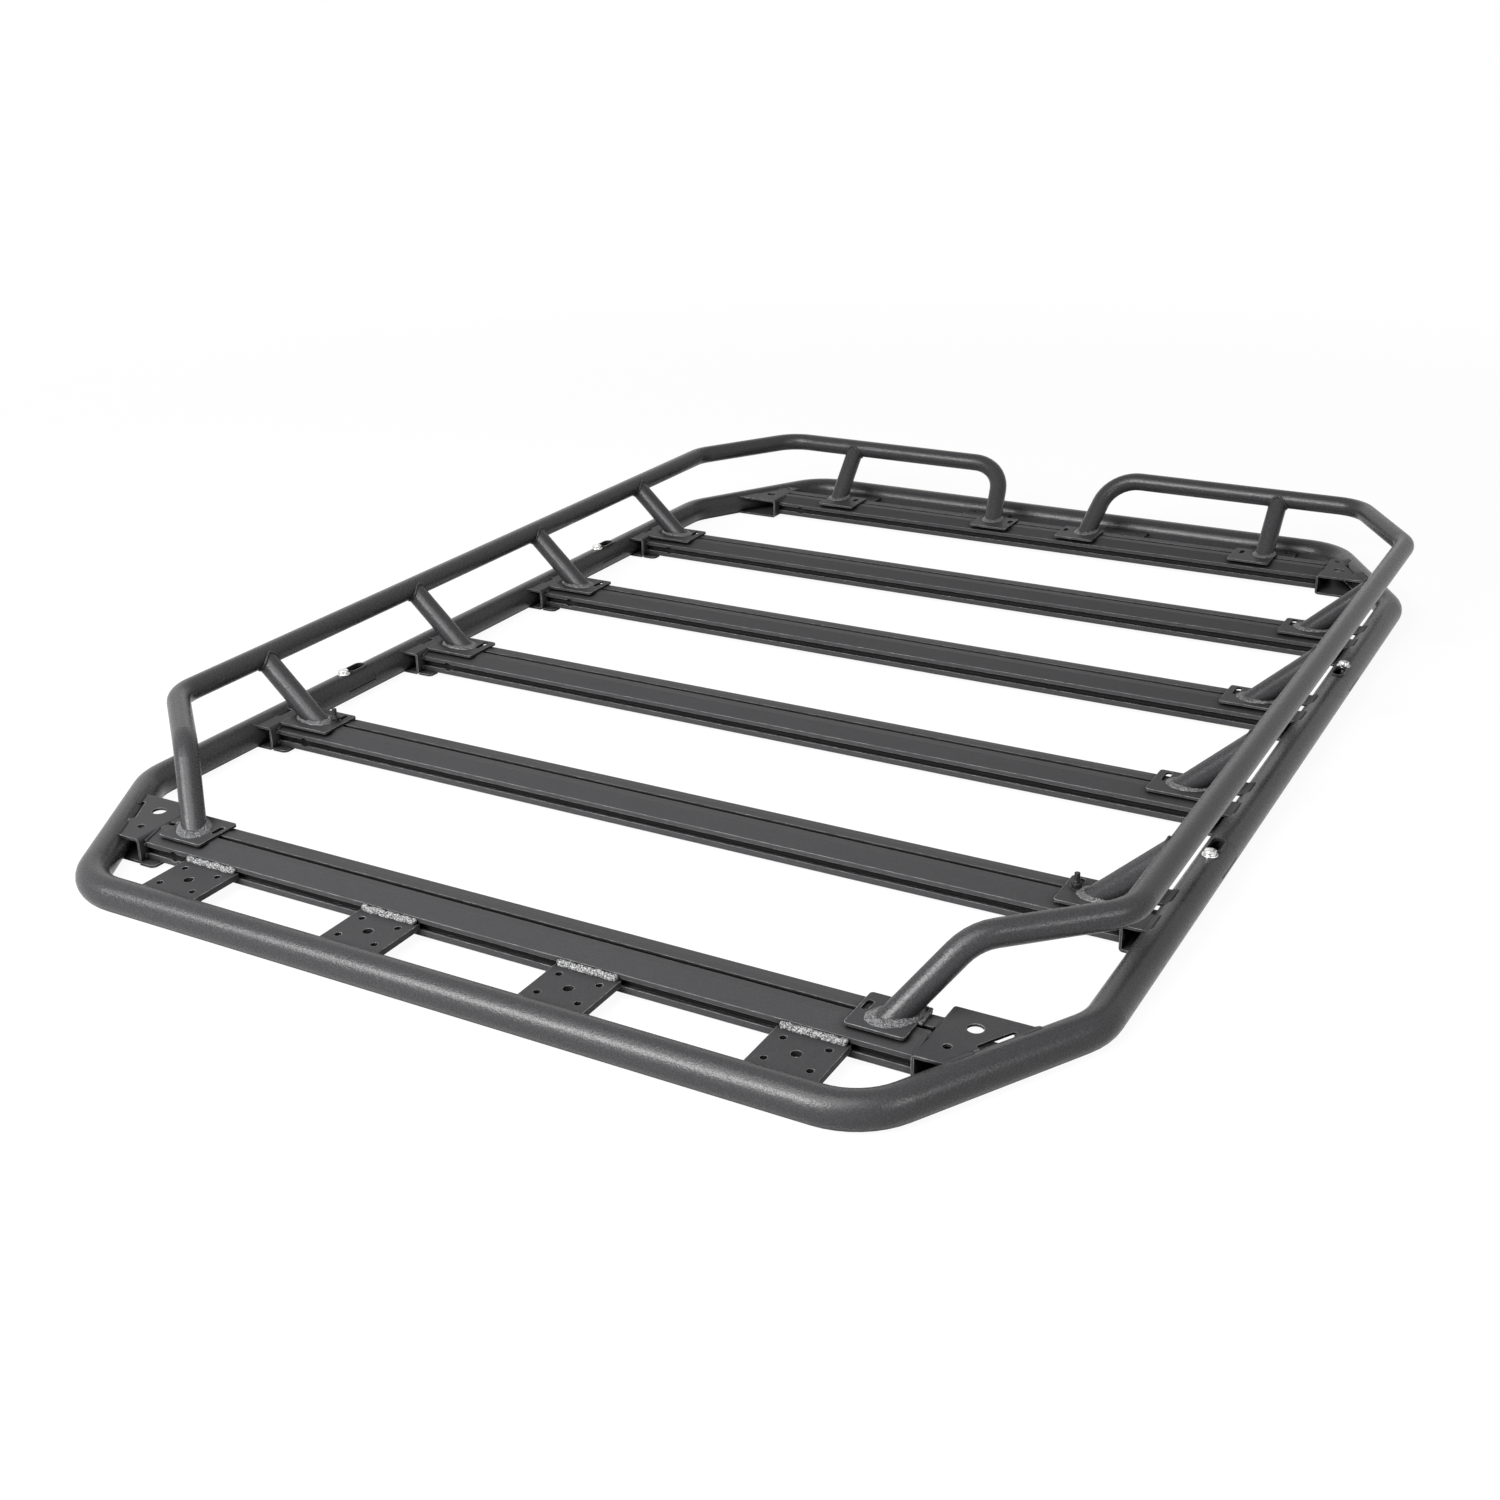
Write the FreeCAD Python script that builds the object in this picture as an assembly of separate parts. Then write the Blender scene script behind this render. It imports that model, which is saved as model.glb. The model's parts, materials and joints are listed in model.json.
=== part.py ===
import FreeCAD
import Part
import math
import os

os.makedirs("parts", exist_ok=True)

# Frame tube, the flat outer loop of the rack
frame_tube_od = 50.8
frame_tube_wall = 3.2
frame_half_width = 806.5
frame_half_length = 1184.9
frame_chamfer_across = 177.5
frame_chamfer_along = 309.9
frame_bend_radius = 101.6

# Lap joints that split the loop into four sections
front_seam_y = -414.0
rear_left_seam_y = 434.0
rear_right_seam_y = 470.0
lap_length = 75.0
lap_gap = 0.6
lap_groove = 2.4
lap_wall = 6.0
lap_bolt_setback = 18.0
lap_bolt_bore = 11.0
lap_window_width = 19.0
lap_window_length = 43.0
lap_window_setback = 29.0
lap_rim_height = 2.0
lap_rim_width = 2.5

# Hand rails, placed from the frame tube, the slat ends and the rear edges of the slats
rail_tube_od = 38.1
rail_tube_wall = 2.5
rail_outset = 6.8
rail_axis_height = 148.2
rail_bend_radius = 76.0
rail_rear_inset = 46.0
rail_rear_chamfer_across = 136.9
rail_rear_chamfer_along = 224.2
rail_front_run_start = 177.4
rail_front_corner_back = 36.4
rail_front_corner_out = 72.0
rail_front_corner_height = 144.0
rail_front_foot_inset = 51.0
rail_front_foot_forward = 36.6
rail_rear_leg_x = 112.0
rail_rear_leg_lean = 21.0
rail_rear_leg_forward = 35.0

# Posts under the hand rails
side_post_inset = 48.0
side_post_forward = (44.4, 34.8, 41.2, 37.0)
rear_post_inset = 130.0
rear_post_forward = 28.0

# Cross slats, one extruded section, with their ends placed from the frame tube
slat_width = 90.0
slat_height = 36.6
slat_skin = 2.5
slat_bevel_run = 19.0
slat_bevel_drop = 4.2
slat_slope_run = 32.6
slat_slope_drop = 8.9
slat_slot_back = 37.7
slat_slot_mouth = 8.5
slat_slot_lip = 3.0
slat_slot_width = 18.0
slat_slot_depth = 10.5
slat_groove_mouth = 10.7
slat_groove_low = 9.9
slat_groove_width = 18.0
slat_groove_depth = 11.0
groove_entry_bore = 17.0
groove_entry_inset = 57.0
long_slat_inset = 50.5
short_slat_inset = 169.5
front_slat_setback = 219.5
rear_slat_setback = 109.9
slat_pitches = (424.3, 401.6, 410.7, 395.9)

# Brackets between the slats and the frame
plate_thickness = 4.0
bracket_height = 41.2
bracket_front_reach = 16.0
bracket_rear_reach = 24.0
bracket_bend_radius = 6.0
bracket_notch_length = 34.0
bracket_notch_reach = 27.5
bracket_notch_forward = 40.0
notch_corner_radius = 5.0
front_corner_outer_reach = 12.0
rear_corner_outer_reach = 12.0
front_corner_inner_reach = 25.0
rear_corner_inner_reach = 21.0
corner_big_hole = 22.0
corner_small_hole = 12.0
corner_notch_length = 61.0
corner_notch_reach = 24.5
front_corner_big_forward = 12.4
front_corner_small_forward = 65.1
front_corner_notch_forward = 34.6
rear_corner_big_forward = 60.0
rear_corner_small_forward = 1.5
rear_corner_notch_forward = 32.0

# Light plates between the end slats and the end bars
light_plate_inner_x = 166.4
light_plate_outer_inset = 135.5
light_plate_width = 101.6
light_plate_thickness = 9.5
light_plate_top_rise = 2.4
light_hole_across = 63.5
light_hole_along = 50.8
light_hole_bore = 10.0
light_centre_bore = 15.0
front_light_holes_from_slat = 48.7
rear_light_holes_from_slat = 44.5

# Foot plates under the rails and the posts, placed from the slat ends and rear edges
foot_thickness = 4.0
foot_along = 81.5
foot_corner_radius = 5.0
foot_slot_width = 10.0
foot_slot_length = 24.0
side_foot_across = 103.0
side_foot_end_inset = 1.0
side_foot_overhangs = (-2.9, 4.0, 0.5, -1.0)
side_foot_slot_in = 17.0
side_foot_slot_length = 36.0
side_foot_slot_back = 23.0
end_foot_across = 88.0
front_foot_across = 83.0
front_foot_end_inset = 19.0
front_foot_overhang = 2.4
front_foot_slot_in = 10.0
front_foot_slot_back = 31.0
rear_post_foot_end_inset = 106.0
rear_post_foot_overhang = -9.0
rear_post_foot_slot_in = 18.0
rear_post_foot_slot_back = 25.0
rear_leg_foot_x = 57.0
rear_leg_foot_overhang = -14.0
rear_leg_foot_slot_in = 10.0
rear_leg_foot_slot_back = 28.0

# Clearances
weld_gap = 0.3

# Levels and lines that follow from the sizes above
tube_radius = frame_tube_od / 2.0
tube_axis_z = tube_radius
rail_radius = rail_tube_od / 2.0
bracket_bottom_z = tube_axis_z - bracket_height / 2.0
bracket_top_z = tube_axis_z + bracket_height / 2.0
slat_top_z = bracket_top_z
slat_bottom_z = slat_top_z - slat_height
foot_top_z = slat_top_z + foot_thickness
first_slat_y = front_slat_setback - frame_half_length
last_slat_y = frame_half_length - rear_slat_setback
middle_slat_ys = []
for pitch in slat_pitches:
    middle_slat_ys.append(([first_slat_y] + middle_slat_ys)[-1] + pitch)
slat_ys = [first_slat_y] + middle_slat_ys + [last_slat_y]
long_slat_half = frame_half_width - long_slat_inset
short_slat_half = frame_half_width - short_slat_inset
light_plate_x = (light_plate_inner_x, short_slat_half - light_plate_outer_inset)
rail_half_width = frame_half_width + rail_outset
rail_rear_y = frame_half_length - rail_rear_inset
rail_front_foot_x = short_slat_half - rail_front_foot_inset
side_post_foot_x = long_slat_half - side_post_inset
side_post_ys = [rear_y - forward for rear_y, forward in zip(middle_slat_ys, side_post_forward)]
rear_post_foot_y = last_slat_y - rear_post_forward
rear_post_x = short_slat_half - rear_post_inset
sides = (("left", -1), ("right", 1))


def vec(x, y, z):
    return FreeCAD.Vector(x, y, z)


def rounded_path(points, radius):
    # Straight runs joined by arcs that touch both runs at each corner
    edges = []
    start = points[0]
    for index in range(1, len(points) - 1):
        corner = points[index]
        back = (points[index - 1] - corner).normalize()
        ahead = (points[index + 1] - corner).normalize()
        turn = math.pi - back.getAngle(ahead)
        reach = radius * math.tan(turn / 2.0)
        first = corner + back * reach
        last = corner + ahead * reach
        inward = (back + ahead).normalize()
        centre = corner + inward * (radius / math.cos(turn / 2.0))
        middle = centre - inward * radius
        edges.append(Part.makeLine(start, first))
        edges.append(Part.Arc(first, middle, last).toShape())
        start = last
    edges.append(Part.makeLine(start, points[-1]))
    return Part.Wire(edges)


def swept_rod(points, bend_radius, rod_radius):
    path = rounded_path(points, bend_radius)
    direction = points[1] - points[0]
    ring = Part.Wire(Part.makeCircle(rod_radius, points[0], direction))
    return path.makePipeShell([ring], True, False)


def swept_tube(points, bend_radius, outer_radius, wall):
    outer = swept_rod(points, bend_radius, outer_radius)
    inner = swept_rod(points, bend_radius, outer_radius - wall)
    return outer.cut(inner)


def box_between(x0, x1, y0, y1, z0, z1):
    size_x = abs(x1 - x0)
    size_y = abs(y1 - y0)
    size_z = abs(z1 - z0)
    return Part.makeBox(size_x, size_y, size_z, vec(min(x0, x1), min(y0, y1), min(z0, z1)))


def rod_between(start, end, radius):
    return Part.makeCylinder(radius, (end - start).Length, start, end - start)


def upright_slot(x, y, length, width, angle, z0, z1):
    # A long round ended hole, its length along Y before it is turned about Z
    half = (length - width) / 2.0
    body = box_between(-width / 2.0, width / 2.0, -half, half, z0, z1)
    for end in (-half, half):
        body = body.fuse(Part.makeCylinder(width / 2.0, z1 - z0, vec(0, end, z0)))
    body.rotate(vec(0, 0, 0), vec(0, 0, 1), angle)
    body.translate(vec(x, y, 0))
    return body


def extruded_outline(corners, axis_vector):
    face = Part.Face(Part.makePolygon(corners + [corners[0]]))
    return face.extrude(axis_vector)


def save(name, shape):
    shape.exportStep("parts/" + name + ".step")


# Frame loop corners and the full rod used to trim what meets it
corner_x = frame_half_width - frame_chamfer_across
corner_y = frame_half_length - frame_chamfer_along


def end_section_points(direction, left_end, right_end):
    return [
        vec(-frame_half_width, left_end, tube_axis_z),
        vec(-frame_half_width, direction * corner_y, tube_axis_z),
        vec(-corner_x, direction * frame_half_length, tube_axis_z),
        vec(corner_x, direction * frame_half_length, tube_axis_z),
        vec(frame_half_width, direction * corner_y, tube_axis_z),
        vec(frame_half_width, right_end, tube_axis_z),
    ]


def lap_bar(x, y0, y1, radius):
    return rod_between(vec(x, min(y0, y1), tube_axis_z), vec(x, max(y0, y1), tube_axis_z), radius)


def half_box(x, y0, y1, upper, start, depth):
    # A box on one side of the split plane, starting a little away from it
    low = tube_axis_z + start
    if not upper:
        low = tube_axis_z - start - depth
    return box_between(x - frame_tube_od, x + frame_tube_od, y0, y1, low, low + depth)


def closed_lap(shape, x, seam, toward, upper):
    # Cut one half of the tube away past the seam and close the other with plates
    inside = tube_radius - frame_tube_wall / 2.0
    tip = seam + toward * lap_length
    cut_start = seam
    cut_end = tip + toward * frame_tube_od
    plug_start = seam - toward * lap_wall
    plug_end = seam
    if not upper:
        cut_start = seam - toward * frame_tube_od
        cut_end = tip + toward * lap_gap
        plug_start = tip + toward * lap_gap
        plug_end = plug_start + toward * lap_wall
    shape = shape.cut(half_box(x, cut_start, cut_end, not upper, -lap_groove / 2.0, frame_tube_od))
    plug = lap_bar(x, plug_start, plug_end, inside)
    flat_start = seam
    flat_end = tip
    if not upper:
        flat_start = seam + toward * lap_gap
        flat_end = plug_end
    flat = lap_bar(x, flat_start, flat_end, inside)
    flat = flat.common(half_box(x, flat_start, flat_end, upper, lap_gap / 2.0, lap_wall))
    return shape.fuse(plug).fuse(flat)


def upper_lap(shape, x, seam, toward):
    # The end whose upper half reaches over its neighbour, with a raised window beside the bolt
    shape = closed_lap(shape, x, seam, toward, True)
    tip = seam + toward * lap_length
    middle = seam + toward * (lap_window_setback + lap_window_length / 2.0)
    top = frame_tube_od + lap_rim_height
    floor = tube_axis_z + lap_gap / 2.0 + lap_wall
    rim = upright_slot(x, middle, lap_window_length + 2.0 * lap_rim_width,
                       lap_window_width + 2.0 * lap_rim_width, 0.0, floor, top)
    hollow_start = seam - toward * lap_wall
    hollow_end = tip + toward * lap_wall
    rim = rim.cut(lap_bar(x, hollow_start, hollow_end, tube_radius - frame_tube_wall))
    window = upright_slot(x, middle, lap_window_length, lap_window_width, 0.0, floor, top + lap_wall)
    bolt_y = seam + toward * lap_bolt_setback
    bore = Part.makeCylinder(lap_bolt_bore / 2.0, frame_tube_od, vec(x, bolt_y, tube_axis_z))
    return shape.fuse(rim).cut(window).cut(bore)


def lower_lap(shape, x, seam, toward):
    # The end whose lower half carries the threaded bore of the joint
    shape = closed_lap(shape, x, seam, toward, False)
    bolt_y = seam + toward * lap_bolt_setback
    return shape.cut(Part.makeCylinder(lap_bolt_bore / 2.0, tube_axis_z, vec(x, bolt_y, 0)))


def side_tube(x, y0, y1):
    outer = lap_bar(x, y0, y1, tube_radius)
    return outer.cut(lap_bar(x, y0, y1, tube_radius - frame_tube_wall))


left_x = -frame_half_width
right_x = frame_half_width
front_tip = front_seam_y + lap_length
front_frame = swept_tube(end_section_points(-1, front_tip, front_tip), frame_bend_radius, tube_radius,
                         frame_tube_wall)
front_frame = upper_lap(front_frame, left_x, front_seam_y, 1)
front_frame = upper_lap(front_frame, right_x, front_seam_y, 1)
save("front_frame_tube", front_frame)

left_middle = side_tube(left_x, front_seam_y + lap_gap, rear_left_seam_y + lap_length)
left_middle = lower_lap(left_middle, left_x, front_seam_y, 1)
left_middle = upper_lap(left_middle, left_x, rear_left_seam_y, 1)
save("left_middle_frame_tube", left_middle)

right_middle = side_tube(right_x, front_seam_y + lap_gap, rear_right_seam_y - lap_gap)
right_middle = lower_lap(right_middle, right_x, front_seam_y, 1)
right_middle = lower_lap(right_middle, right_x, rear_right_seam_y, -1)
save("right_middle_frame_tube", right_middle)

rear_frame = swept_tube(end_section_points(1, rear_left_seam_y + lap_gap, rear_right_seam_y - lap_length),
                        frame_bend_radius, tube_radius, frame_tube_wall)
rear_frame = lower_lap(rear_frame, left_x, rear_left_seam_y, 1)
rear_frame = upper_lap(rear_frame, right_x, rear_right_seam_y, -1)
save("rear_frame_tube", rear_frame)

# Full rods, a weld gap larger than the tube, that trim the pieces welded to the frame
trim_radius = tube_radius + weld_gap
front_trim = swept_rod(end_section_points(-1, 0, 0), frame_bend_radius, trim_radius)
rear_trim = swept_rod(end_section_points(1, 0, 0), frame_bend_radius, trim_radius)


def slat_section(rear_y):
    # Outline of the extrusion, from the rear bottom corner round by the top
    top = slat_top_z
    bottom = slat_bottom_z
    slot = rear_y - slat_slot_back
    front = rear_y - slat_width
    flat_front = front + slat_slope_run
    front_top = top - slat_slope_drop
    groove_low = bottom + slat_groove_low
    groove_high = groove_low + slat_groove_mouth
    groove_middle = (groove_low + groove_high) / 2.0
    groove_top = groove_middle + slat_groove_width / 2.0
    groove_bottom = groove_middle - slat_groove_width / 2.0
    mouth = slat_slot_mouth / 2.0
    wide = slat_slot_width / 2.0
    return [
        (rear_y, bottom), (rear_y, top - slat_bevel_drop), (rear_y - slat_bevel_run, top),
        (slot + mouth, top), (slot + mouth, top - slat_slot_lip), (slot + wide, top - slat_slot_lip),
        (slot + wide, top - slat_slot_depth), (slot - wide, top - slat_slot_depth),
        (slot - wide, top - slat_slot_lip), (slot - mouth, top - slat_slot_lip), (slot - mouth, top),
        (flat_front, top), (front, front_top), (front, groove_high),
        (front + slat_slot_lip, groove_high), (front + slat_slot_lip, groove_top),
        (front + slat_groove_depth, groove_top), (front + slat_groove_depth, groove_bottom),
        (front + slat_slot_lip, groove_bottom),
        (front + slat_slot_lip, groove_low), (front, groove_low), (front, bottom),
    ]


def slat_chambers(rear_y):
    # The three closed hollows along the extrusion
    top = slat_top_z
    floor = slat_bottom_z + slat_skin
    slot = rear_y - slat_slot_back
    wide = slat_slot_width / 2.0
    front = rear_y - slat_width
    flat_front = front + slat_slope_run
    slope = slat_slope_drop / slat_slope_run
    rear_in = rear_y - slat_skin
    rib_rear = slot + wide + slat_skin
    rib_front = slot - wide - slat_skin
    groove_in = front + slat_groove_depth + slat_skin
    rear_hollow = [
        (rear_in, floor), (rear_in, top - slat_bevel_drop - slat_skin / 2.0),
        (rear_y - slat_bevel_run, top - slat_skin), (rib_rear, top - slat_skin), (rib_rear, floor),
    ]
    middle_hollow = [
        (slot + wide, floor), (slot + wide, top - slat_slot_depth - slat_skin),
        (slot - wide, top - slat_slot_depth - slat_skin), (slot - wide, floor),
    ]
    front_hollow = [
        (rib_front, floor), (rib_front, top - slat_skin), (flat_front, top - slat_skin),
        (groove_in, top - slat_skin - slope * (flat_front - groove_in)), (groove_in, floor),
    ]
    return [rear_hollow, middle_hollow, front_hollow]


def groove_entry(rear_y, half):
    # A round hole through both lips of the front groove near its left end, where slide nuts drop in
    middle = slat_bottom_z + slat_groove_low + slat_groove_mouth / 2.0
    start = vec(groove_entry_inset - half, rear_y - slat_width, middle)
    return rod_between(start, start + vec(0, slat_groove_depth, 0), groove_entry_bore / 2.0)


def slat_solid(rear_y, half):
    corners = [vec(-half, y, z) for y, z in slat_section(rear_y)]
    solid = extruded_outline(corners, vec(2.0 * half, 0, 0))
    for chamber in slat_chambers(rear_y):
        corners = [vec(-half, y, z) for y, z in chamber]
        solid = solid.cut(extruded_outline(corners, vec(2.0 * half, 0, 0)))
    return solid.cut(groove_entry(rear_y, half))


slat_names = ("front_slat", "second_slat", "third_slat", "fourth_slat", "fifth_slat", "rear_slat")
slat_halves = (short_slat_half,) + (long_slat_half,) * len(middle_slat_ys) + (short_slat_half,)
for slat_name, rear_y, half in zip(slat_names, slat_ys, slat_halves):
    save(slat_name, slat_solid(rear_y, half))


def bent_channel(x0, x1, y0, y1):
    # Web at x0 with two flanges toward x1, rounded on the outside of its two bends
    solid = box_between(x0, x1, y0, y1, bracket_bottom_z, bracket_top_z)
    web_edges = []
    for edge in solid.Edges:
        centre = edge.CenterOfMass
        along_y = abs(edge.BoundBox.YLength - abs(y1 - y0)) < weld_gap
        if along_y and abs(centre.x - x0) < weld_gap:
            web_edges.append(edge)
    solid = solid.makeFillet(bracket_bend_radius, web_edges)
    toward = math.copysign(1.0, x1 - x0)
    inner = box_between(x0 + toward * plate_thickness, x1 + toward * plate_thickness,
                        y0 - plate_thickness, y1 + plate_thickness,
                        bracket_bottom_z + plate_thickness, bracket_top_z - plate_thickness)
    return solid.cut(inner)


def open_notch(x, y, reach, outward, length, angle):
    # A notch with rounded inner corners, cut from the tube inward through the upper flange only
    low = bracket_top_z - plate_thickness * 1.5
    high = bracket_top_z + plate_thickness
    body = box_between(-reach, outward, -length / 2.0, length / 2.0, low, high)
    inner_edges = [edge for edge in body.Edges
                   if edge.BoundBox.ZLength > plate_thickness and edge.CenterOfMass.x < 0]
    body = body.makeFillet(notch_corner_radius, inner_edges)
    body.rotate(vec(0, 0, 0), vec(0, 0, 1), angle)
    body.translate(vec(x, y, 0))
    return body


def side_bracket(side, rear_y, trim):
    web_x = side * (long_slat_half + weld_gap)
    edge_x = side * frame_half_width
    y0 = rear_y - slat_width - bracket_front_reach
    y1 = rear_y + bracket_rear_reach
    solid = bent_channel(web_x, edge_x, y0, y1)
    turn = 90 - 90 * side
    notch = open_notch(edge_x, rear_y - bracket_notch_forward, bracket_notch_reach, tube_radius,
                       bracket_notch_length, turn)
    return solid.cut(notch).cut(trim)


bracket_words = ("second", "third", "fourth", "fifth")
for side_name, side in sides:
    for word, rear_y in zip(bracket_words, middle_slat_ys):
        trim = front_trim if rear_y < 0 else rear_trim
        save(side_name + "_" + word + "_bracket", side_bracket(side, rear_y, trim))


def slanted_tube_x(y):
    # Where the slanted part of the frame tube has its axis, for a place along the rack
    slope = frame_chamfer_across / frame_chamfer_along
    return frame_half_width - slope * (abs(y) - corner_y)


def corner_bracket(side, rear_y, front_reach, back_reach, trim):
    # Bent channel whose flanges spread out to the slanted corner tube
    web_x = side * (short_slat_half + weld_gap)
    front_y = rear_y - slat_width - front_reach
    back_y = rear_y + back_reach
    solid = bent_channel(web_x, side * frame_half_width, front_y, back_y)
    outer = []
    for y in (front_y - plate_thickness, back_y + plate_thickness):
        outer.append(vec(side * slanted_tube_x(y), y, 0))
    inner_x = web_x - side * plate_thickness
    inner = [vec(inner_x, outer[1].y, 0), vec(inner_x, outer[0].y, 0)]
    keep = extruded_outline(outer + inner, vec(0, 0, frame_tube_od))
    return solid.common(keep).cut(trim)


def corner_hole(side, y, bore):
    # A round hole midway between the web and the side of the slanted tube, in the upper flange only
    rise = bracket_top_z - tube_axis_z
    slant = math.atan2(frame_chamfer_across, frame_chamfer_along)
    tube_side = slanted_tube_x(y) - math.sqrt(tube_radius ** 2 - rise ** 2) / math.cos(slant)
    x = side * (short_slat_half + tube_side) / 2.0
    low = bracket_top_z - plate_thickness * 1.5
    return Part.makeCylinder(bore / 2.0, plate_thickness * 2.0, vec(x, y, low))


def corner_notch(side, end, y):
    slant = math.degrees(math.atan2(frame_chamfer_across, frame_chamfer_along))
    turn = 90 - 90 * side + side * end * slant
    x = side * slanted_tube_x(y)
    return open_notch(x, y, corner_notch_reach, tube_radius, corner_notch_length, turn)


for side_name, side in sides:
    bracket = corner_bracket(side, first_slat_y, front_corner_outer_reach, front_corner_inner_reach,
                             front_trim)
    bracket = bracket.cut(corner_hole(side, first_slat_y - front_corner_big_forward, corner_big_hole))
    bracket = bracket.cut(corner_hole(side, first_slat_y - front_corner_small_forward, corner_small_hole))
    bracket = bracket.cut(corner_notch(side, -1, first_slat_y - front_corner_notch_forward))
    save("front_" + side_name + "_corner_bracket", bracket)
    bracket = corner_bracket(side, last_slat_y, rear_corner_inner_reach, rear_corner_outer_reach,
                             rear_trim)
    bracket = bracket.cut(corner_hole(side, last_slat_y - rear_corner_big_forward, corner_big_hole))
    bracket = bracket.cut(corner_hole(side, last_slat_y - rear_corner_small_forward, corner_small_hole))
    bracket = bracket.cut(corner_notch(side, 1, last_slat_y - rear_corner_notch_forward))
    save("rear_" + side_name + "_corner_bracket", bracket)


def light_plate(x, end, slat_face_y, holes_from_slat, trim):
    # Thick plate from the slat to the end bar, with a square of four holes round a larger one
    bar_y = end * frame_half_length
    low = tube_axis_z + light_plate_top_rise - light_plate_thickness
    start = slat_face_y + end * weld_gap
    half = light_plate_width / 2.0
    plate = box_between(x - half, x + half, start, bar_y, low, low + light_plate_thickness)
    centre_y = slat_face_y + end * holes_from_slat
    holes = [Part.makeCylinder(light_centre_bore / 2.0, light_plate_thickness, vec(x, centre_y, low))]
    for across in (-0.5, 0.5):
        for along in (-0.5, 0.5):
            place = vec(x + across * light_hole_across, centre_y + along * light_hole_along, low)
            holes.append(Part.makeCylinder(light_hole_bore / 2.0, light_plate_thickness, place))
    for hole in holes:
        plate = plate.cut(hole)
    return plate.cut(trim)


plate_positions = [(side_name + "_" + word, side * x) for side_name, side in sides
                   for word, x in zip(("inner", "outer"), light_plate_x)]
for name, x in plate_positions:
    save("front_" + name + "_light_plate",
         light_plate(x, -1, first_slat_y - slat_width, front_light_holes_from_slat, front_trim))
    save("rear_" + name + "_light_plate",
         light_plate(x, 1, last_slat_y, rear_light_holes_from_slat, rear_trim))


def foot_plate(side, inner_x, across, rear_y, slot_in, slot_back, slot_length):
    plate = box_between(side * inner_x, side * (inner_x + across), rear_y - foot_along, rear_y,
                        slat_top_z, foot_top_z)
    upright = [edge for edge in plate.Edges if edge.BoundBox.ZLength > foot_thickness / 2.0]
    plate = plate.makeFillet(foot_corner_radius, upright)
    slot = upright_slot(side * (inner_x + slot_in), rear_y - slot_back, slot_length, foot_slot_width, 0.0,
                        slat_top_z, foot_top_z)
    return plate.cut(slot)


def side_feet(side):
    # The seven feet of one rail, as separate plates
    front_x = short_slat_half - front_foot_end_inset - front_foot_across
    feet = [foot_plate(side, front_x, front_foot_across, first_slat_y + front_foot_overhang,
                       front_foot_slot_in, front_foot_slot_back, foot_slot_length)]
    side_x = long_slat_half - side_foot_end_inset - side_foot_across
    for rear_y, overhang in zip(middle_slat_ys, side_foot_overhangs):
        feet.append(foot_plate(side, side_x, side_foot_across, rear_y + overhang, side_foot_slot_in,
                               side_foot_slot_back, side_foot_slot_length))
    post_foot_x = short_slat_half - rear_post_foot_end_inset - end_foot_across
    feet.append(foot_plate(side, post_foot_x, end_foot_across, last_slat_y + rear_post_foot_overhang,
                           rear_post_foot_slot_in, rear_post_foot_slot_back, foot_slot_length))
    feet.append(foot_plate(side, rear_leg_foot_x, end_foot_across, last_slat_y + rear_leg_foot_overhang,
                           rear_leg_foot_slot_in, rear_leg_foot_slot_back, foot_slot_length))
    return feet


below = box_between(-frame_half_width * 2.0, frame_half_width * 2.0, -frame_half_length * 2.0,
                    frame_half_length * 2.0, -frame_tube_od, foot_top_z)


def rail_points(side):
    front_corner = vec(side * (rail_front_foot_x + rail_front_corner_out),
                       first_slat_y + rail_front_corner_back, rail_front_corner_height)
    front_foot = vec(side * rail_front_foot_x, first_slat_y - rail_front_foot_forward, foot_top_z)
    rear_corner = vec(side * (rail_rear_leg_x + rail_rear_leg_lean), rail_rear_y, rail_axis_height)
    rear_foot = vec(side * rail_rear_leg_x, last_slat_y - rail_rear_leg_forward, foot_top_z)
    front_end = front_foot + (front_foot - front_corner).normalize() * rail_tube_od
    rear_end = rear_foot + (rear_foot - rear_corner).normalize() * rail_tube_od
    return [
        front_end,
        front_corner,
        vec(side * rail_half_width, first_slat_y + rail_front_run_start, rail_axis_height),
        vec(side * rail_half_width, rail_rear_y - rail_rear_chamfer_along, rail_axis_height),
        vec(side * (rail_half_width - rail_rear_chamfer_across), rail_rear_y, rail_axis_height),
        rear_corner,
        rear_end,
    ]


def post_tube(foot, head, trim):
    away = (foot - head).normalize()
    start = foot + away * rail_tube_od
    post = rod_between(start, head, rail_radius).cut(rod_between(start, head, rail_radius - rail_tube_wall))
    return post.cut(below).cut(trim)


for side_name, side in sides:
    points = rail_points(side)
    rail = swept_tube(points, rail_bend_radius, rail_radius, rail_tube_wall).cut(below)
    save(side_name + "_hand_rail", rail)
    rail_trim = swept_rod(points, rail_bend_radius, rail_radius + weld_gap)
    for word, post_y in zip(bracket_words, side_post_ys):
        foot = vec(side * side_post_foot_x, post_y, foot_top_z)
        head = vec(side * rail_half_width, post_y, rail_axis_height)
        save(side_name + "_" + word + "_post", post_tube(foot, head, rail_trim))
    foot = vec(side * rear_post_x, rear_post_foot_y, foot_top_z)
    head = vec(side * rear_post_x, rail_rear_y, rail_axis_height)
    save(side_name + "_rear_post", post_tube(foot, head, rail_trim))
    save(side_name + "_foot_plates", Part.makeCompound(side_feet(side)))
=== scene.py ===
import bmesh
import bpy
import json
import math
from mathutils import Matrix, Vector


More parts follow.
